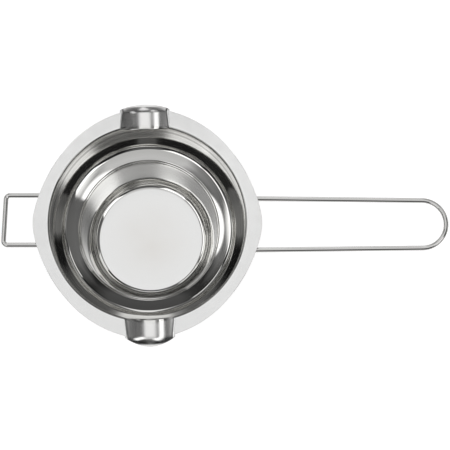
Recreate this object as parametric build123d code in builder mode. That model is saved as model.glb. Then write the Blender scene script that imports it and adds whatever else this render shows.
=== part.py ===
"""Candle melting pot: a stepped pouring bowl that hangs inside a saucepan.

One pressed stainless sheet makes the bowl, its flange and its two spouts. A long wire
handle and a short wire hook are welded to the bowl's outer wall, just under the flange.

Units are millimetres and degrees. Origin: centre of the base's underside. +Z is up,
+X points along the long handle, and the spouts face +Y and -Y.
"""

from build123d import *
import os
from math import atan, cos, radians, sqrt, tan

os.makedirs("parts", exist_ok=True)

# ---- bowl: section of the sheet's upper face, as sharp corners with their radii ----
sheet = 0.7
rim_height = 71.0           # upper face of the flange where it turns into the wall
floor_radius = 34.7         # floor meets the lower wall
floor_corner = 5.0
step_radius = 40.6          # lower wall meets the tread of a small step
step_depth = 30.95          # below rim_height
step_corner = 1.0
riser_radius = 41.5         # the tread meets the small step's riser
riser_depth = 30.7
riser_corner = 0.45
brink_radius = 41.8         # the riser meets the ledge
brink_depth = 30.0
brink_corner = 1.0
ledge_radius = 50.3         # ledge meets the upper wall
ledge_depth = 27.7
ledge_corner = 4.0
mouth_radius = 57.3         # upper wall meets the flange
mouth_corner = 1.3
flange_fall = 5.0           # the flange slopes down outwards by this angle
section_reach = 82.0        # the section is drawn out to here, then trimmed
section_top = 80.0

# ---- flange outline: each quadrant is three tangent arcs ----
tip_radius = 66.9           # half length, over the handle and the hook
tip_arc = 33.7
tip_arc_angle = 13.6
side_arc = 88.4
side_arc_angle = 29.0
flange_half_width = 68.2    # half width, under the spouts

# ---- spouts ----
spout_skew = 1.7            # the pair stands this far round from the Y axis
spout_width = 28.4          # across the channel, at the flange
spout_depth = 5.6           # channel floor below rim_height
spout_start = 40.0          # the channel's straight run starts inside the mouth
spout_bend = 65.5           # the floor starts to curl down here
spout_curl = 7.0            # radius of the curl
spout_curl_angle = 75.0
lip_reach = 71.7            # outermost point of the lip
lip_corner_reach = 66.9     # the lip's edge leaves the flange's outline here
lip_half_width = 14.7
spout_edge = 0.95           # radius where the channel meets flange and wall
spout_edge_under = 0.3      # the same on the sheet's underside
trim_margin = 1.0           # the outline prism runs past the sheet by this much

# ---- wires ----
wire = 3.0                  # diameter
wall_gap = 0.25             # between wire and wall, filled by the weld
flange_gap = 0.1            # between wire and the underside of the flange
wall_bend = 4.0             # centre-line radius of the bend down along the wall
tail = 13.0                 # the welded end reaches this far below the wire's level
handle_end = 174.1          # centre line of the loop's far end
handle_loop = 14.0          # half spacing of the legs where the loop starts
handle_root = 15.2          # half spacing of the legs at the bowl
handle_shift = -0.6         # the pair of legs stands this far off the X axis
hook_end = 83.3             # centre line of the hook's cross-piece
hook_slant = 2.6            # the cross-piece leans this far from the Y axis
hook_half = 14.6            # half spacing of the hook's legs
hook_shift = 1.8
hook_corner = 2.4           # centre-line radius of the hook's corners

# ---- welds ----
weld_length = 7.5
weld_width = 3.6
weld_height = 2.6
weld_margin = 0.8           # the bead starts this far above the tail's end

wall_slope = (mouth_radius - ledge_radius) / ledge_depth
wall_lean = atan(wall_slope)
wire_level = (
    rim_height
    - (tip_radius - mouth_radius) * tan(radians(flange_fall))
    - sheet / cos(radians(flange_fall))
    - flange_gap
    - wire / 2
)


def wall_outside(height):
    """Radius of the upper wall's outer face at this height."""
    return mouth_radius - wall_slope * (rim_height - height) + sheet / cos(wall_lean)


def tail_place(side, height):
    """X of a welded tail's centre line, against the wall, for a leg at Y = side."""
    clear = wall_outside(height) + wall_gap + wire / 2
    return sqrt(clear**2 - side**2)


# ---- bowl ----

def section_above(growth):
    """Half section of the space above the sheet, grown by a part of its thickness."""
    fall = (section_reach - mouth_radius) * tan(radians(flange_fall))
    edge_point = (section_reach, rim_height - fall)
    with BuildSketch(Plane.XZ) as section:
        with BuildLine():
            FilletPolyline(
                (0, sheet),
                (floor_radius, sheet),
                (step_radius, rim_height - step_depth),
                (riser_radius, rim_height - riser_depth),
                (brink_radius, rim_height - brink_depth),
                (ledge_radius, rim_height - ledge_depth),
                (mouth_radius, rim_height),
                edge_point,
                radius=[
                    floor_corner,
                    step_corner,
                    riser_corner,
                    brink_corner,
                    ledge_corner,
                    mouth_corner,
                ],
            )
            Polyline(edge_point, (section_reach, section_top), (0, section_top), (0, sheet))
        make_face()
        if growth > 0:
            offset(amount=growth)
        with Locations((0, sheet - growth)):
            Rectangle(
                section_reach,
                section_top - sheet + growth,
                align=(Align.MIN, Align.MIN),
                mode=Mode.INTERSECT,
            )
    return section.sketch


def channel(growth):
    """Cutting body of one spout along +Y: a straight run, then the curl at its lip."""
    half = spout_width / 2
    floor = rim_height - spout_depth
    bore = (half**2 + spout_depth**2) / (2 * spout_depth)
    with BuildPart() as cutter:
        with BuildSketch(Plane.XZ.offset(-spout_start)):
            with Locations((0, floor + bore)):
                Circle(bore + growth)
        extrude(amount=-(spout_bend - spout_start))
        with BuildSketch(Plane.XZ.offset(-spout_bend)):
            with Locations((0, floor + bore)):
                Circle(bore + growth)
        revolve(
            axis=Axis((0, spout_bend, floor - spout_curl), (-1, 0, 0)),
            revolution_arc=spout_curl_angle,
        )
    return cutter.part


def space_above(growth):
    """Everything above the sheet's upper face, or above its underside."""
    corner = spout_edge_under if growth > 0 else spout_edge
    with BuildPart() as space:
        with BuildSketch(Plane.XZ):
            add(section_above(growth))
        revolve(axis=Axis.Z)
        for turn in (0, 180):
            add(channel(growth).rotate(Axis.Z, spout_skew + turn))
            joints = space.edges(Select.NEW).filter_by(near_spout_edge)
            fillet(joints, radius=corner)
    return space.part


def near_spout_edge(edge):
    """True for an edge where a channel runs into the flange or the wall."""
    middle = edge @ 0.5
    from_axis = sqrt(middle.X**2 + middle.Y**2)
    return from_axis > ledge_radius and middle.Z < rim_height + trim_margin


def flange_outline():
    """Plan shape of the flange with its two lips."""
    with BuildSketch() as outline:
        with BuildLine():
            tip = JernArc((tip_radius, 0), (0, 1), tip_arc, tip_arc_angle)
            side = JernArc(tip @ 1, tip % 1, side_arc, side_arc_angle)
            TangentArc(side @ 1, (0, flange_half_width), tangent=side % 1)
            mirror(about=Plane.YZ)
            mirror(about=Plane.XZ)
        make_face()
    with BuildSketch() as lips:
        with BuildLine():
            left = (-lip_half_width, lip_corner_reach)
            right = (lip_half_width, lip_corner_reach)
            ThreePointArc(left, (0, lip_reach), right)
            Polyline(right, (lip_half_width, 0), (-lip_half_width, 0), left)
        make_face()
    with BuildSketch() as plan:
        add(outline.sketch)
        for turn in (0, 180):
            add(lips.sketch.rotate(Axis.Z, spout_skew + turn))
    return plan.sketch


with BuildPart() as bowl:
    add(space_above(sheet))
    add(space_above(0), mode=Mode.SUBTRACT)
    with BuildSketch(Plane.XY.offset(-trim_margin)):
        add(flange_outline())
    extrude(amount=rim_height + 2 * trim_margin, mode=Mode.INTERSECT)

bowl.part.label = "bowl"
export_step(bowl.part, "parts/bowl.step")


# ---- long handle ----

def handle_leg(side):
    """Corner points of one leg, from its welded tail to the start of the loop."""
    root = handle_shift + side * handle_root
    loop = handle_shift + side * handle_loop
    low = wire_level - tail
    return [
        (tail_place(root, low), root, low),
        (tail_place(root, wire_level), root, wire_level),
        (handle_end - handle_loop, loop, wire_level),
    ]


with BuildPart() as long_handle:
    with BuildLine() as handle_path:
        first = FilletPolyline(*handle_leg(1), radius=[wall_bend])
        last = FilletPolyline(*reversed(handle_leg(-1)), radius=[wall_bend])
        ThreePointArc(first @ 1, (handle_end, handle_shift, wire_level), last @ 0)
    with BuildSketch(Plane(origin=first @ 0, z_dir=first % 0)):
        Circle(wire / 2)
    sweep(path=handle_path.wires()[0])

long_handle.part.label = "long_handle"
export_step(long_handle.part, "parts/long_handle.step")


# ---- short hook ----

def hook_leg(side):
    """Corner points of one leg of the hook, from its welded tail outwards."""
    place = hook_shift + side * hook_half
    low = wire_level - tail
    lean = side * hook_half * tan(radians(hook_slant))
    return [
        (-tail_place(place, low), place, low),
        (-tail_place(place, wire_level), place, wire_level),
        (-hook_end + lean, place, wire_level),
    ]


with BuildPart() as front_hook:
    with BuildLine() as hook_path:
        bent = FilletPolyline(
            *hook_leg(1),
            *reversed(hook_leg(-1)),
            radius=[wall_bend, hook_corner, hook_corner, wall_bend],
        )
    with BuildSketch(Plane(origin=bent @ 0, z_dir=bent % 0)):
        Circle(wire / 2)
    sweep(path=hook_path.wires()[0])

front_hook.part.label = "front_hook"
export_step(front_hook.part, "parts/front_hook.step")


# ---- welds ----

def weld_beads(legs):
    """A flattened bead over each tail, bedded against the wall."""
    with BuildPart() as beads:
        for low_end, bend_point, _ in legs:
            tail_foot = Vector(*low_end)
            along = (Vector(*bend_point) - tail_foot).normalized()
            outward = Vector(tail_foot.X, tail_foot.Y, 0).normalized()
            rise = along * (weld_length / 2 + weld_margin)
            centre = tail_foot + rise - outward * (wire / 2)
            with BuildSketch(Plane(origin=centre, x_dir=along, z_dir=outward)):
                SlotOverall(weld_length, weld_width)
            extrude(amount=weld_height / 2, both=True)
        add(space_above(sheet), mode=Mode.SUBTRACT)
    return beads.part


with BuildPart() as handle_welds:
    add(weld_beads([handle_leg(1), handle_leg(-1)]))
    add(long_handle.part, mode=Mode.SUBTRACT)

handle_welds.part.label = "handle_welds"
export_step(handle_welds.part, "parts/handle_welds.step")

with BuildPart() as hook_welds:
    add(weld_beads([hook_leg(1), hook_leg(-1)]))
    add(front_hook.part, mode=Mode.SUBTRACT)

hook_welds.part.label = "hook_welds"
export_step(hook_welds.part, "parts/hook_welds.step")
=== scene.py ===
"""Looks of the candle melting pot: one pressed bowl, a long wire handle and a short hook.

The scene is in metres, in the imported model's frame: +Z up, +X along the long handle, and
the spouts face +Y and -Y. The pressed sheet's dimensions are in millimetres and degrees.
"""

import math

import bpy
import numpy as np
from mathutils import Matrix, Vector


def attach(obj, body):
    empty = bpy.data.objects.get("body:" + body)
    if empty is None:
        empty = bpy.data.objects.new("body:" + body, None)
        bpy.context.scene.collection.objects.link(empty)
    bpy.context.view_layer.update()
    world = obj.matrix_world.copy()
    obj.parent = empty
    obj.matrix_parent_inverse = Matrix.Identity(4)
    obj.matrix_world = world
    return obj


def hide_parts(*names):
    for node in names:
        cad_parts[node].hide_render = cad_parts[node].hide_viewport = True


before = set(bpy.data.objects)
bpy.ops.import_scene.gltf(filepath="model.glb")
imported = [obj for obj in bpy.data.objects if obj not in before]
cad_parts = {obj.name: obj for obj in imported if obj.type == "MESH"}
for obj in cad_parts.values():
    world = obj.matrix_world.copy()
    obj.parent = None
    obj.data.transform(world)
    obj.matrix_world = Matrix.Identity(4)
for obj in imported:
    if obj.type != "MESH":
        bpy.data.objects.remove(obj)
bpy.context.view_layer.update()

MM = 0.001

# ---- the pressed sheet: upper face as sharp corners with their radii; depths are below RIM ----
SHEET = 0.7
RIM = 71.0                  # upper face of the flange where it turns into the wall
FLOOR_RADIUS, FLOOR_CORNER = 34.7, 5.0
STEP_RADIUS, STEP_DEPTH, STEP_CORNER = 40.6, 30.95, 1.0
RISER_RADIUS, RISER_DEPTH, RISER_CORNER = 41.5, 30.7, 0.45
BRINK_RADIUS, BRINK_DEPTH, BRINK_CORNER = 41.8, 30.0, 1.0
LEDGE_RADIUS, LEDGE_DEPTH, LEDGE_CORNER = 50.3, 27.7, 4.0
MOUTH_RADIUS, MOUTH_CORNER = 57.3, 1.3
WALL_SLOPE = (MOUTH_RADIUS - LEDGE_RADIUS) / LEDGE_DEPTH
WALL_OUT = np.array([1, -WALL_SLOPE]) / math.hypot(1, WALL_SLOPE)
FLANGE_FALL = 5.0           # the flange slopes down outwards by this angle
FLANGE_SLOPE = math.tan(math.radians(FLANGE_FALL))

# ---- plan outline of the flange: each quadrant is three tangent arcs ----
TIP_RADIUS, TIP_ARC, TIP_ARC_ANGLE = 66.9, 33.7, 13.6
SIDE_ARC, SIDE_ARC_ANGLE = 88.4, 29.0
FLANGE_HALF_WIDTH = 68.2
TIP_POINTS, SIDE_POINTS, END_POINTS = 12, 30, 40

# ---- spouts and their lips ----
SPOUT_SKEW, SPOUT_WIDTH, SPOUT_DEPTH = 1.7, 28.4, 5.6
SPOUT_BEND, SPOUT_CURL, SPOUT_EDGE = 65.5, 7.0, 0.95
SPOUT_CLEAR = 20.0          # no channel is nearer the pot's axis than this
CURL_LIMIT = 0.98           # share of the curl's radius that is drawn, short of upright
LIP_REACH, LIP_CORNER_REACH, LIP_HALF_WIDTH = 71.7, 66.9, 14.7

# ---- rings of the bowl's mesh ----
CENTRE_RING = 1.0           # radius of the innermost ring
RUN_STEP = 4.0              # spacing of the rings along straight runs
WALL_RINGS = 14
MOUTH_RINGS = 9
FLANGE_RINGS = 24
FLANGE_CROWDING = 1.25      # above 1, the flange's rings stand closer near its edge
EDGE_RINGS = 7
EDGE_BULGE = 0.12           # the cut edge is rounded by this much
SPOUT_STEP, OTHER_STEP = 0.4, 1.0    # degrees from point to point round a ring
SPOUT_SPAN = 17.0           # degrees each side of a spout that have the closer points

# ---- search for the mouth's rounding ----
CORNER_BLEND = 3            # the spouts' own radius is reached at 1/3 of their depth
SEARCH_BELOW, SEARCH_ABOVE = 5.0, 1.0    # beyond the channel's floor and the rim
SEARCH_STEPS = 30
SEARCH_REACH = np.linspace(-1.0, 7.0, 321)    # offsets at which the flange is measured

# ---- edges of the painted finishes: start and width of each fade ----
FLANGE_FADE = (MOUTH_RADIUS + 0.7, 0.4)
PRESSED_FADE = (0.15, 0.5)
CHANNEL_FADE = (-(SPOUT_WIDTH / 2 + 2.5), 1.0)    # of minus the distance across

# ---------------------------------------------------------------- bowl shape

def fillet_points(before, corner, after, radius, count):
    """Arc of that radius between two straight runs, as points (radius, height)."""
    a = (before - corner) / np.linalg.norm(before - corner)
    b = (after - corner) / np.linalg.norm(after - corner)
    half = math.acos(np.clip(a @ b, -1, 1)) / 2
    centre = corner + (a + b) / np.linalg.norm(a + b) * radius / math.sin(half)
    start = corner + a * radius / math.tan(half) - centre
    end = corner + b * radius / math.tan(half) - centre
    turn = math.atan2(start[0] * end[1] - start[1] * end[0], start @ end)
    angles = np.linspace(0, turn, count)
    return [
        centre + np.array([
            start[0] * math.cos(t) - start[1] * math.sin(t),
            start[0] * math.sin(t) + start[1] * math.cos(t),
        ])
        for t in angles
    ]


def run_points(start, end, count):
    """Inner points of a straight run."""
    return [start + (end - start) * k / (count + 1) for k in range(1, count + 1)]


def fixed_section():
    """Section from the floor's centre to the foot of the upper wall: same all round."""
    corners = [
        (0.0, SHEET, 0.0, 0),
        (FLOOR_RADIUS, SHEET, FLOOR_CORNER, 24),
        (STEP_RADIUS, RIM - STEP_DEPTH, STEP_CORNER, 9),
        (RISER_RADIUS, RIM - RISER_DEPTH, RISER_CORNER, 7),
        (BRINK_RADIUS, RIM - BRINK_DEPTH, BRINK_CORNER, 9),
        (LEDGE_RADIUS, RIM - LEDGE_DEPTH, LEDGE_CORNER, 22),
        (MOUTH_RADIUS, RIM, 0.0, 0),
    ]
    places = [np.array(corner[:2]) for corner in corners]
    points = [np.array([CENTRE_RING, SHEET])]
    for k in range(1, len(corners) - 1):
        arc = fillet_points(places[k - 1], places[k], places[k + 1], *corners[k][2:])
        length = np.linalg.norm(arc[0] - points[-1])
        points += run_points(points[-1], arc[0], int(length / RUN_STEP)) + arc
    return np.array(points)


def smooth_min(a, b, width):
    """The lower of two heights, with their crossing rounded off."""
    h = np.maximum(width - np.abs(a - b), 0) / width
    return np.minimum(a, b) - h * h * width / 4


def spout_coordinates(x, y):
    """Across and along the nearer spout."""
    skew = math.radians(SPOUT_SKEW)
    across = x * math.cos(skew) + y * math.sin(skew)
    along = -x * math.sin(skew) + y * math.cos(skew)
    side = np.sign(along)
    return across * side, np.abs(along)


def flange_height(radius):
    """Height of the flange's upper face, without its spouts."""
    return RIM - (radius - MOUTH_RADIUS) * FLANGE_SLOPE


def sheet_height(radius, angle):
    """Height of the flange's upper face, with the two spout channels pressed into it."""
    across, along = spout_coordinates(radius * np.cos(angle), radius * np.sin(angle))
    half = SPOUT_WIDTH / 2
    bore = (half**2 + SPOUT_DEPTH**2) / (2 * SPOUT_DEPTH)
    lift = bore - np.sqrt(np.maximum(bore**2 - across**2, 0))
    past_bend = np.clip(along - SPOUT_BEND, 0, CURL_LIMIT * SPOUT_CURL)
    curl = SPOUT_CURL - np.sqrt(SPOUT_CURL**2 - past_bend**2)
    channel = RIM - SPOUT_DEPTH + lift - curl
    channel = np.where(along < SPOUT_CLEAR, np.inf, channel)
    return smooth_min(flange_height(radius), channel, SPOUT_EDGE)


def compass(angle):
    """Unit vector in plan."""
    return np.array([math.cos(angle), math.sin(angle)])


def plan_arc(centre, radius, first, last, count):
    """Points of an arc in plan, from its first angle to its last."""
    return [centre + radius * compass(t) for t in np.linspace(first, last, count)]


def flange_quadrant():
    """Plan outline of the flange from the X axis round to the Y axis."""
    tip_turn = math.radians(TIP_ARC_ANGLE)
    side_turn = tip_turn + math.radians(SIDE_ARC_ANGLE)
    points = plan_arc(np.array([TIP_RADIUS - TIP_ARC, 0.0]), TIP_ARC, 0, tip_turn, TIP_POINTS)
    centre = points[-1] - SIDE_ARC * compass(tip_turn)
    points += plan_arc(centre, SIDE_ARC, tip_turn, side_turn, SIDE_POINTS)[1:]
    # the last arc leaves along the second one's tangent and ends on the Y axis
    start = points[-1]
    end = np.array([0.0, FLANGE_HALF_WIDTH])
    inward = -compass(side_turn)
    chord = end - start
    radius = (chord @ chord) / (2 * (chord @ inward))
    centre = start + inward * radius
    first = math.atan2(*(start - centre)[::-1])
    last = math.atan2(*(end - centre)[::-1])
    points += plan_arc(centre, radius, first, last, END_POINTS)[1:]
    return np.array(points)


def lip_outline(angle):
    """Radius of the lips' edge at each angle, or 0 away from the lips."""
    # the edge is an arc through the two lip corners and the outermost point
    rise = LIP_REACH - LIP_CORNER_REACH
    arc = (LIP_HALF_WIDTH**2 + rise**2) / (2 * rise)
    centre = LIP_REACH - arc
    across, along = spout_coordinates(np.cos(angle), np.sin(angle))
    inside = centre * along
    reach = inside + np.sqrt(np.maximum(inside**2 - centre**2 + arc**2, 0))
    faces_lip = along > np.abs(across)
    return np.where(faces_lip & (np.abs(across) * reach < LIP_HALF_WIDTH), reach, 0)


def outline_radius(angle):
    """Plan outline of the flange and lips: radius at each angle."""
    x, y = flange_quadrant().T
    folded = np.arctan2(np.abs(np.sin(angle)), np.abs(np.cos(angle)))
    flange = np.interp(folded, np.arctan2(y, x), np.hypot(x, y))
    return np.maximum(lip_outline(angle), flange)


def angle_steps():
    """Angles round the bowl, closer together across the spouts."""
    angles = []
    angle = 0.0
    while angle < 360 - SPOUT_STEP / 2:
        angles.append(angle)
        from_spout = abs((angle - SPOUT_SKEW) % 180 - 90)
        angle += SPOUT_STEP if from_spout < SPOUT_SPAN else OTHER_STEP
    return np.radians(np.array(angles))


def mouth_corner(angles):
    """Radius of the mouth's rounding, which is the spouts' own where they leave the wall."""
    at_wall = sheet_height(np.full_like(angles, MOUTH_RADIUS), angles)
    pressed = np.clip((RIM - at_wall) / SPOUT_DEPTH, 0, 1)
    return MOUTH_CORNER + (SPOUT_EDGE - MOUTH_CORNER) * np.minimum(pressed * CORNER_BLEND, 1)


def rounding_centre(height, corner):
    """Centre of a rounding that touches the upper wall's line at that height."""
    radius = MOUTH_RADIUS - WALL_SLOPE * (RIM - height)
    return radius + WALL_OUT[0] * corner, height + WALL_OUT[1] * corner


def nearest_on_flange(angles, centre_r, centre_z):
    """Nearest point of the flange to each centre: distance (minus if below it), radius, height."""
    r = centre_r[:, None] + SEARCH_REACH[None, :]
    z = sheet_height(r, angles[:, None])
    gap = np.hypot(r - centre_r[:, None], z - centre_z[:, None])
    nearest = np.arange(len(angles)), gap.argmin(axis=1)
    side = np.where(z[nearest] > centre_z, 1, -1)
    return gap[nearest] * side, r[nearest], z[nearest]


def mouth_rounding(angles, corner):
    """Slides the rounding up the wall until it touches the flange: its centre, touching point."""
    low = np.full_like(angles, RIM - SPOUT_DEPTH - SEARCH_BELOW)
    high = np.full_like(angles, RIM + SEARCH_ABOVE)
    for _ in range(SEARCH_STEPS):
        middle = (low + high) / 2
        gap, _, _ = nearest_on_flange(angles, *rounding_centre(middle, corner))
        low = np.where(gap > corner, middle, low)
        high = np.where(gap > corner, high, middle)
    centre = rounding_centre(low, corner)
    _, touch_r, touch_z = nearest_on_flange(angles, *centre)
    return *centre, touch_r, touch_z


def mouth_sections(angles, wall_foot):
    """Per angle: the upper wall, its rounded mouth and the flange out to the outline."""
    corner = mouth_corner(angles)
    centre_r, centre_z, touch_r, touch_z = mouth_rounding(angles, corner)
    wall_top = np.stack([centre_r - WALL_OUT[0] * corner, centre_z - WALL_OUT[1] * corner], axis=1)
    columns = []
    for k in range(1, WALL_RINGS + 1):
        columns.append(wall_foot + (wall_top - wall_foot) * k / (WALL_RINGS + 1))
    first = math.atan2(-WALL_OUT[1], -WALL_OUT[0])
    last = np.arctan2(touch_z - centre_z, touch_r - centre_r)
    for k in range(MOUTH_RINGS):
        t = first + (last - first) * k / (MOUTH_RINGS - 1)
        r = centre_r + corner * np.cos(t)
        columns.append(np.stack([r, centre_z + corner * np.sin(t)], axis=1))
    rim_edge = outline_radius(angles)
    for k in range(1, FLANGE_RINGS + 1):
        share = 1 - (1 - k / FLANGE_RINGS) ** FLANGE_CROWDING
        r = touch_r + (rim_edge - touch_r) * share
        columns.append(np.stack([r, sheet_height(r, angles)], axis=1))
    return columns


def ring_grid():
    """Upper face as rings of points: array of rings x angles x 3, millimetres."""
    angles = angle_steps()
    inner = fixed_section()
    columns = [np.tile(p, (len(angles), 1)) for p in inner]
    columns += mouth_sections(angles, inner[-1])
    rings = []
    for column in columns:
        r, z = column[:, 0], column[:, 1]
        rings.append(np.stack([r * np.cos(angles), r * np.sin(angles), z], axis=1))
    return np.array(rings)


def grid_normals(rings):
    """Upward normals of a closed ring grid."""
    round_step = np.roll(rings, -1, axis=1) - np.roll(rings, 1, axis=1)
    out_step = np.empty_like(rings)
    out_step[1:-1] = rings[2:] - rings[:-2]
    out_step[0] = rings[1] - rings[0]
    out_step[-1] = rings[-1] - rings[-2]
    normals = np.cross(out_step, round_step)
    return normals / np.linalg.norm(normals, axis=2, keepdims=True)


def fade_in(value, start, width):
    """0 up to a start, rising to 1 over a width."""
    return np.clip((value - start) / width, 0, 1)


def finish_masks(upper, outside_rings):
    """Per vertex of the bowl: satin flange, spout channel and outside, each 0 to 1."""
    x, y, z = upper[..., 0], upper[..., 1], upper[..., 2]
    radius = np.hypot(x, y)
    across, along = spout_coordinates(x, y)
    past_mouth = fade_in(radius, *FLANGE_FADE)
    pressed = fade_in(flange_height(radius) - z, *PRESSED_FADE)
    near_spout = fade_in(-np.abs(across), *CHANNEL_FADE) * (along > SPOUT_CLEAR)
    spout = past_mouth * pressed * near_spout
    satin = past_mouth * (1 - spout)
    inside = np.stack([satin, spout, np.zeros_like(satin), np.ones_like(satin)], axis=-1)
    outside = np.zeros((outside_rings, upper.shape[1], 4))
    outside[..., 2:] = 1
    centres = [[0, 0, 0, 1], [0, 0, 1, 1]]
    return np.vstack([inside.reshape(-1, 4), outside.reshape(-1, 4), centres])


def cut_edge(upper_ring, under_ring, normals):
    """Slightly rounded rings from the flange's upper edge to its lower one."""
    along_edge = np.roll(upper_ring, -1, axis=0) - np.roll(upper_ring, 1, axis=0)
    out = -np.cross(normals, along_edge)
    out = out / np.linalg.norm(out, axis=1, keepdims=True)
    rings = []
    for turn in np.linspace(0, math.pi, EDGE_RINGS):
        across = (upper_ring + under_ring) / 2 + normals * SHEET / 2 * math.cos(turn)
        rings.append(across + out * EDGE_BULGE * (math.sin(turn) - 1))
    return rings


def grid_faces(count, around):
    """Faces of a stack of rings, closed at both ends by a fan round an added centre vertex."""
    top = count * around
    last = top - around
    faces = []
    for j in range(around):
        k = (j + 1) % around
        faces.append((top, j, k))
        for i in range(0, last, around):
            faces.append((i + j, i + around + j, i + around + k, i + k))
        faces.append((top + 1, last + k, last + j))
    return faces


def build_bowl():
    """The pressed sheet: upper face, cut edge and underside."""
    upper = ring_grid()
    normals = grid_normals(upper)
    under = upper - normals * SHEET
    outside = cut_edge(upper[-1], under[-1], normals[-1]) + list(under[:-1][::-1])
    grid = np.array(list(upper[:-1]) + outside)
    vertices = np.vstack([grid.reshape(-1, 3), [[0, 0, SHEET], [0, 0, 0]]]) * MM
    mesh = bpy.data.meshes.new("pressed_bowl")
    mesh.from_pydata(vertices.tolist(), [], grid_faces(*grid.shape[:2]))
    mesh.shade_smooth()
    layer = mesh.attributes.new("finish", "FLOAT_COLOR", "POINT")
    layer.data.foreach_set("color", finish_masks(upper[:-1], len(outside)).ravel())
    mesh.update()
    bowl = bpy.data.objects.new("pressed_bowl", mesh)
    bpy.context.scene.collection.objects.link(bowl)
    return bowl


# ---------------------------------------------------------------- materials

FLOOR_EDGE = (FLOOR_RADIUS - FLOOR_CORNER * 0.8) * MM    # the brushing ends inside the corner


def add_node(tree, kind, inputs=None, **settings):
    """A new shader node; inputs holds its socket values, or sockets to link from."""
    made = tree.nodes.new(kind)
    for key, value in settings.items():
        setattr(made, key, value)
    for key, value in (inputs or {}).items():
        if isinstance(value, bpy.types.NodeSocket):
            tree.links.new(value, made.inputs[key])
        else:
            made.inputs[key].default_value = value
    return made


def calc(tree, operation, *values):
    """Output of a Math node."""
    return add_node(tree, "ShaderNodeMath", dict(enumerate(values)), operation=operation).outputs[0]


def map_range(tree, value, low, high, low_out, high_out):
    """Output of a clamped smooth step between two values."""
    places = {"Value": value, "From Min": low, "From Max": high, "To Min": low_out, "To Max": high_out}
    made = add_node(tree, "ShaderNodeMapRange", places, interpolation_type="SMOOTHSTEP")
    return made.outputs["Result"]


def mix_colour(tree, share, first, second):
    """Output of a colour mix."""
    made = add_node(tree, "ShaderNodeMix", data_type="RGBA")
    for socket, value in ((0, share), (6, first), (7, second)):
        if isinstance(value, bpy.types.NodeSocket):
            tree.links.new(value, made.inputs[socket])
        elif socket == 0:
            made.inputs[0].default_value = value
        else:
            made.inputs[socket].default_value = (*value, 1)
    return made.outputs[2]


def noise(tree, vector, scale, detail):
    """Noise of that scale over a vector, 0 to 1."""
    places = {"Vector": vector, "Scale": scale, "Detail": detail}
    return add_node(tree, "ShaderNodeTexNoise", places).outputs["Fac"]


def line_noise(tree, value, scale, detail):
    """Noise that varies along one value only, which draws lines across it."""
    places = {"W": value, "Scale": scale, "Detail": detail}
    return add_node(tree, "ShaderNodeTexNoise", places, noise_dimensions="1D").outputs["Fac"]


def stretch(tree, vector, factors):
    """The vector scaled axis by axis, to draw a noise out into streaks."""
    made = add_node(tree, "ShaderNodeVectorMath", {0: vector, 1: factors}, operation="MULTIPLY")
    return made.outputs[0]


def new_steel(name):
    """A metal material; returns it with its node tree, shader and object coordinates."""
    material = bpy.data.materials.new(name)
    material.use_nodes = True
    tree = material.node_tree
    shader = tree.nodes["Principled BSDF"]
    shader.inputs["Metallic"].default_value = 1.0
    place = add_node(tree, "ShaderNodeTexCoord").outputs["Object"]
    return material, tree, shader, place


def bump(tree, shader, height, distance, strength):
    """Fine relief; distance is in metres."""
    places = {"Height": height, "Distance": distance, "Strength": strength}
    made = add_node(tree, "ShaderNodeBump", places)
    tree.links.new(made.outputs[0], shader.inputs["Normal"])


def bowl_masks(tree, radius, height):
    """Where the satin, floor, spout and outside finishes lie, each 0 to 1."""
    finish = add_node(tree, "ShaderNodeAttribute", attribute_name="finish").outputs["Color"]
    satin, spout, outside = add_node(tree, "ShaderNodeSeparateColor", {0: finish}).outputs
    low = map_range(tree, height, SHEET * MM, (SHEET + 0.4) * MM, 1, 0)
    disc = map_range(tree, radius, FLOOR_EDGE, FLOOR_EDGE + MM, 1, 0)
    inside = calc(tree, "SUBTRACT", 1.0, outside)
    floor = calc(tree, "MULTIPLY", calc(tree, "MULTIPLY", low, disc), inside)
    return {"satin": satin, "floor": floor, "spout": spout, "outside": outside}


def bowl_marks(tree, place, radius, height):
    """Noises that draw each finish's marks."""
    # turning lines run round the wall; brushing runs round the floor and along the spouts
    section = calc(tree, "ADD", radius, height)
    return {
        "turning": line_noise(tree, section, 900, 4),
        "coarse_turning": line_noise(tree, section, 160, 1),
        "circles": line_noise(tree, radius, 2600, 3),
        "grain": noise(tree, place, 1800, 2),
        "blotches": noise(tree, place, 45, 3),
        "streaks": noise(tree, stretch(tree, place, (2600, 60, 60)), 1, 3),
        "rubbed": noise(tree, place, 140, 5),
    }


def by_finish(tree, masks, polished, others):
    """A value for the polished wall, replaced by each other finish's own where that lies."""
    value = polished
    for name, other in others.items():
        rise = calc(tree, "MULTIPLY", masks[name], calc(tree, "SUBTRACT", other, value))
        value = calc(tree, "ADD", value, rise)
    return value


def bowl_roughness(tree, masks, marks):
    """Near-mirror wall, dull flange and outside, brushed floor and spouts."""
    polished = map_range(tree, marks["turning"], 0.3, 0.75, 0.035, 0.075)
    return by_finish(tree, masks, polished, {
        "satin": map_range(tree, marks["rubbed"], 0.3, 0.7, 0.24, 0.27),
        "floor": map_range(tree, marks["circles"], 0.3, 0.7, 0.17, 0.21),
        "spout": map_range(tree, marks["streaks"], 0.3, 0.7, 0.17, 0.23),
        "outside": map_range(tree, marks["rubbed"], 0.3, 0.7, 0.16, 0.24),
    })


def bowl_relief(tree, masks, marks):
    """Height of the fine relief, as a share of the bump's distance."""
    polished = calc(tree, "MULTIPLY", marks["turning"], 0.15)
    return by_finish(tree, masks, polished, {
        "satin": calc(tree, "MULTIPLY", marks["grain"], 0.05),
        "floor": calc(tree, "MULTIPLY", marks["circles"], 0.12),
        "spout": calc(tree, "MULTIPLY", marks["streaks"], 0.8),
        "outside": calc(tree, "MULTIPLY", marks["rubbed"], 0.5),
    })


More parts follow.
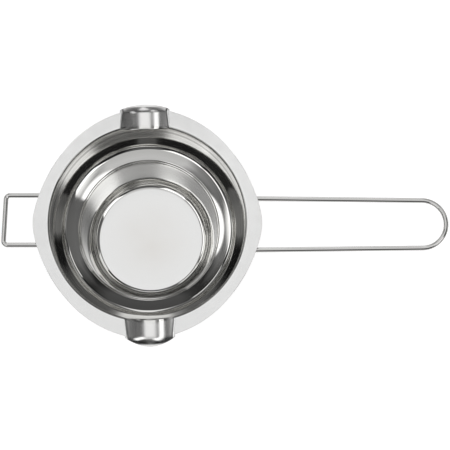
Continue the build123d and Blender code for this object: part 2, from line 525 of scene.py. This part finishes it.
def wall_tone(tree, marks, height):
    """Turned steel, with dark lines that grow stronger towards the rim."""
    tone = mix_colour(tree, marks["coarse_turning"], (0.72, 0.715, 0.695), (0.82, 0.815, 0.80))
    near_rim = map_range(tree, height, (RIM - 20) * MM, (RIM - 3) * MM, 0, 1)
    lines = map_range(tree, marks["coarse_turning"], 0.42, 0.58, 0, 0.7)
    lines = calc(tree, "MULTIPLY", near_rim, lines)
    return mix_colour(tree, lines, tone, (0.30, 0.30, 0.29))


def floor_tone(tree, marks, radius):
    """Brushed in circles, with a worn, faintly brown middle."""
    tone = mix_colour(tree, marks["circles"], (0.73, 0.73, 0.725), (0.80, 0.80, 0.795))
    worn = map_range(tree, radius, 0.0, FLOOR_EDGE, 0.75, 0.0)
    worn = calc(tree, "MULTIPLY", worn, marks["blotches"])
    return mix_colour(tree, worn, tone, (0.66, 0.635, 0.60))


def bowl_tone(tree, masks, marks, radius, height):
    """Colour of the whole sheet, one finish laid over the other."""
    layers = {
        "satin": mix_colour(tree, marks["grain"], (0.82, 0.82, 0.815), (0.89, 0.89, 0.885)),
        "outside": mix_colour(tree, marks["rubbed"], (0.50, 0.495, 0.485), (0.62, 0.615, 0.60)),
        "floor": floor_tone(tree, marks, radius),
        "spout": mix_colour(tree, marks["streaks"], (0.74, 0.735, 0.725), (0.84, 0.835, 0.83)),
    }
    tone = wall_tone(tree, marks, height)
    for name, layer in layers.items():
        tone = mix_colour(tree, masks[name], tone, layer)
    return tone


def bowl_material():
    """Polished wall with fine turning lines, satin flange, brushed floor and spouts."""
    material, tree, shader, place = new_steel("bowl_steel")
    height = add_node(tree, "ShaderNodeSeparateXYZ", {0: place}).outputs["Z"]
    flat = stretch(tree, place, (1, 1, 0))
    radius = add_node(tree, "ShaderNodeVectorMath", {0: flat}, operation="LENGTH").outputs["Value"]
    masks = bowl_masks(tree, radius, height)
    marks = bowl_marks(tree, place, radius, height)
    tree.links.new(bowl_roughness(tree, masks, marks), shader.inputs["Roughness"])
    tone = bowl_tone(tree, masks, marks, radius, height)
    tree.links.new(tone, shader.inputs["Base Color"])
    bump(tree, shader, bowl_relief(tree, masks, marks), 0.00001, 0.35)
    return material


def wire_material():
    """Bright drawn wire: faint lengthways draw marks and handling marks."""
    material, tree, shader, place = new_steel("wire_steel")
    draw_marks = noise(tree, stretch(tree, place, (40, 2500, 2500)), 1, 3)
    handled = noise(tree, place, 180, 4)
    tone = mix_colour(tree, draw_marks, (0.58, 0.575, 0.565), (0.69, 0.685, 0.675))
    tree.links.new(tone, shader.inputs["Base Color"])
    drawn_share = calc(tree, "MULTIPLY", draw_marks, 0.6)
    handled_share = calc(tree, "MULTIPLY", handled, 0.4)
    marks = calc(tree, "ADD", drawn_share, handled_share)
    tree.links.new(map_range(tree, marks, 0.3, 0.7, 0.06, 0.12), shader.inputs["Roughness"])
    bump(tree, shader, draw_marks, 0.000008, 0.4)
    return material


def weld_material():
    """Dull fused metal with a straw heat tint and a rippled skin."""
    material, tree, shader, place = new_steel("weld_steel")
    ripple = noise(tree, stretch(tree, place, (900, 900, 2200)), 1, 3)
    tint = noise(tree, place, 320, 2)
    tone = mix_colour(tree, tint, (0.47, 0.45, 0.42), (0.60, 0.55, 0.46))
    tree.links.new(tone, shader.inputs["Base Color"])
    tree.links.new(map_range(tree, ripple, 0.3, 0.7, 0.32, 0.5), shader.inputs["Roughness"])
    bump(tree, shader, ripple, 0.00012, 0.6)
    return material


bowl = build_bowl()
bowl.data.materials.append(bowl_material())
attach(bowl, "root")
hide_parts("bowl")

wire_steel = wire_material()
weld_steel = weld_material()
CAD_LOOKS = {
    "long_handle": wire_steel,
    "front_hook": wire_steel,
    "handle_welds": weld_steel,
    "hook_welds": weld_steel,
}
for node_name, look in CAD_LOOKS.items():
    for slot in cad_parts[node_name].material_slots:
        slot.material = look


# ---------------------------------------------------------------- stage

CROSS_LEVELS = [            # over the pot's length: along +X, overhead, along -X
    (0.0, 0.9), (0.08, 0.7), (0.12, 0.2), (0.26, 0.12), (0.36, 0.14), (0.39, 0.3),
    (0.42, 1.0), (0.59, 1.0), (0.615, 0.4), (0.66, 0.16), (0.80, 0.14), (0.88, 0.3),
    (0.92, 0.7), (1.0, 0.9),
]
SPOUT_LEVELS = [            # over the pot's width: along +Y, overhead, along -Y
    (0.0, 0.8), (0.08, 1.1), (0.22, 1.0), (0.262, 0.08), (0.33, 0.08), (0.36, 0.55),
    (0.38, 1.1), (0.46, 1.05), (0.54, 0.85), (0.60, 0.62), (0.655, 0.6), (0.68, 0.1),
    (0.92, 0.12), (0.96, 0.5), (1.0, 0.8),
]
CARDS = [                   # compass angle, height, width and tallness in degrees, level
    (328, 50, 20, 34, 1.5),
    (236, 50, 20, 24, 1.4),
    (186, 52, 44, 16, 1.4),
    (37, 46, 14, 14, 1.0),
    (131, 44, 18, 12, 1.0),
]
CARD_EDGE = 0.1             # a card fades out over this share of its size, each way
GROUND_LEVEL = 0.3          # light that comes from below the horizon

FLOOR_REACH = 6.0           # metres from the middle to the floor's edges
FLOOR_GREY = 0.6
FLOOR_GLOW = 0.8

WIRE_LIGHT_PLACE = (0.05, 1.3, 1.25)
WIRE_LIGHT_TARGET = (0.05, 0, RIM * MM)
WIRE_LIGHT_LENGTH, WIRE_LIGHT_WIDTH = 2.4, 1.6
WIRE_LIGHT_WATTS = 3.5

CAMERA_TARGET = Vector((0.0452, -0.0015, RIM * MM))
CAMERA_ELEVATION = math.radians(81.6)
CAMERA_DISTANCE = 1.4
CAMERA_LENS, CAMERA_SENSOR = 192.5, 36    # millimetres


def ramp(tree, value, stops):
    """Brightness over a value from 0 to 1, given as (place, level) stops."""
    made = add_node(tree, "ShaderNodeValToRGB", {0: value})
    elements = made.color_ramp.elements
    while len(elements) < len(stops):
        elements.new(0.5)
    for element, (position, level) in zip(elements, stops):
        element.position = position
        element.color = (level, level, level, 1)
    return made.outputs["Color"]


def turn_levels(tree, height, side, stops):
    """Brightness by the direction's turn from one horizon, over the top, to the other."""
    turn = calc(tree, "DIVIDE", calc(tree, "ARCTAN2", height, side), math.pi)
    return ramp(tree, turn, stops)


def dot_product(tree, direction, axis):
    """Share of a direction that lies along an axis."""
    places = {0: direction, 1: axis}
    made = add_node(tree, "ShaderNodeVectorMath", places, operation="DOT_PRODUCT")
    return made.outputs["Value"]


def card(tree, direction, azimuth, height, width, tall, level):
    """A soft-edged light card far away, by its compass angle and height, in degrees."""
    azimuth, height = math.radians(azimuth), math.radians(height)
    middle = Vector((
        math.cos(azimuth) * math.cos(height),
        math.sin(azimuth) * math.cos(height),
        math.sin(height),
    ))
    across = Vector((-math.sin(azimuth), math.cos(azimuth), 0))
    upward = middle.cross(across)
    ahead = dot_product(tree, direction, middle)
    share = map_range(tree, ahead, 0.2, 0.25, 0, level)    # nothing on the far side
    for axis, size in ((across, width), (upward, tall)):
        reach = math.tan(math.radians(size / 2))
        off = calc(tree, "DIVIDE", dot_product(tree, direction, axis), ahead)
        off = calc(tree, "ABSOLUTE", off)
        inside = map_range(tree, off, reach * (1 - CARD_EDGE), reach * (1 + CARD_EDGE), 1, 0)
        share = calc(tree, "MULTIPLY", share, inside)
    return share


def build_world():
    """Studio: a wide soft light overhead, dark sides with a few windows, pale horizon."""
    world = bpy.data.worlds.new("studio")
    bpy.context.scene.world = world
    world.use_nodes = True
    tree = world.node_tree
    tree.nodes.clear()
    direction = add_node(tree, "ShaderNodeTexCoord").outputs["Generated"]
    split = add_node(tree, "ShaderNodeSeparateXYZ", {0: direction}).outputs
    height = calc(tree, "MAXIMUM", split["Z"], 0.001)
    over_length = turn_levels(tree, height, split["X"], CROSS_LEVELS)
    over_width = turn_levels(tree, height, split["Y"], SPOUT_LEVELS)
    level = calc(tree, "MULTIPLY", over_length, over_width)
    for place in CARDS:
        level = calc(tree, "ADD", level, card(tree, direction, *place))
    below = map_range(tree, split["Z"], -0.02, 0.0, 1, 0)
    level = calc(tree, "ADD", calc(tree, "MULTIPLY", below, GROUND_LEVEL), level)
    seen = add_node(tree, "ShaderNodeLightPath").outputs["Is Camera Ray"]
    colour = mix_colour(tree, seen, level, (1, 1, 1))
    background = add_node(tree, "ShaderNodeBackground", {"Color": colour})
    output = add_node(tree, "ShaderNodeOutputWorld")
    tree.links.new(background.outputs[0], output.inputs["Surface"])


def build_floor():
    """Pale floor, hidden from reflections so that the steel mirrors the studio."""
    signs = ((-1, -1), (1, -1), (1, 1), (-1, 1))
    corners = [(x * FLOOR_REACH, y * FLOOR_REACH, 0) for x, y in signs]
    mesh = bpy.data.meshes.new("floor")
    mesh.from_pydata(corners, [], [(0, 1, 2, 3)])
    floor = bpy.data.objects.new("floor", mesh)
    bpy.context.scene.collection.objects.link(floor)
    floor.visible_glossy = False
    material = bpy.data.materials.new("floor_white")
    material.use_nodes = True
    shader = material.node_tree.nodes["Principled BSDF"]
    shader.inputs["Base Color"].default_value = (FLOOR_GREY, FLOOR_GREY, FLOOR_GREY, 1)
    shader.inputs["Emission Color"].default_value = (1, 1, 1, 1)
    shader.inputs["Emission Strength"].default_value = FLOOR_GLOW
    mesh.materials.append(material)


def build_wire_light():
    """A large soft light on the +Y side that only the wires and welds catch."""
    lit = bpy.data.collections.new("wires")
    for node_name in CAD_LOOKS:
        lit.objects.link(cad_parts[node_name])
    data = bpy.data.lights.new("wire_light", "AREA")
    data.shape = "RECTANGLE"
    data.size = WIRE_LIGHT_LENGTH
    data.size_y = WIRE_LIGHT_WIDTH
    data.energy = WIRE_LIGHT_WATTS
    light = bpy.data.objects.new("wire_light", data)
    bpy.context.scene.collection.objects.link(light)
    light.location = WIRE_LIGHT_PLACE
    toward = Vector(WIRE_LIGHT_TARGET) - light.location
    light.rotation_euler = toward.to_track_quat("-Z", "Y").to_euler()
    light.light_linking.receiver_collection = lit


def build_camera():
    """Camera nearly overhead, a little to the -Y side."""
    data = bpy.data.cameras.new("camera")
    data.lens = CAMERA_LENS
    data.sensor_width = CAMERA_SENSOR
    camera = bpy.data.objects.new("camera", data)
    bpy.context.scene.collection.objects.link(camera)
    away = Vector((0, -math.cos(CAMERA_ELEVATION), math.sin(CAMERA_ELEVATION)))
    camera.location = CAMERA_TARGET + away * CAMERA_DISTANCE
    camera.rotation_euler = away.to_track_quat("Z", "Y").to_euler()
    bpy.context.scene.camera = camera


build_world()
build_floor()
build_wire_light()
build_camera()
bpy.context.scene.view_settings.view_transform = "Standard"
